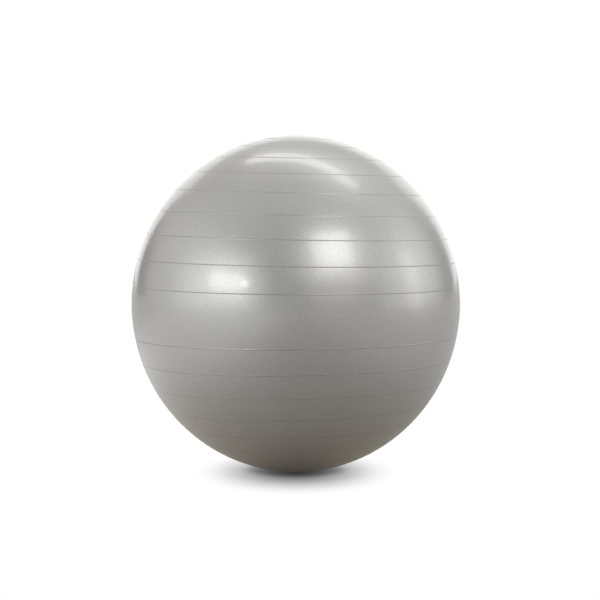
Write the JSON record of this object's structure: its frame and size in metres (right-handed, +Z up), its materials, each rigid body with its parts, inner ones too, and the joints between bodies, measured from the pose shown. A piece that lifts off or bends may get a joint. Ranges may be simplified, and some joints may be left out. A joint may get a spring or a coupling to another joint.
{
  "type": "exercise ball",
  "caption": "Hollow inflated ball for sitting, stretching and balance exercises, with level raised rings for grip and a push-in plug in an air valve.",
  "frame": {"origin": "on the floor, at the middle of the small flat patch that the ball stands on", "axes": "+Z up through both poles, across the level rings; +Y out along the air valve, on the back of the ball"},
  "size_m": [0.6339, 0.6337, 0.65],
  "materials": {
    "shell_vinyl": "satin",
    "seat_vinyl": "satin",
    "plug_plastic": "satin"
  },
  "bodies": {
    "ball": {"ball_shell": "shell_vinyl", "valve_seat": "seat_vinyl"},
    "plug": {"valve_plug": "plug_plastic"}
  },
  "joints": [
    {"name": "plug_pull", "type": "slide", "parent": "ball", "child": "plug", "axis": [0, 1, 0], "range_m": [0, 0.035]}
  ]
}
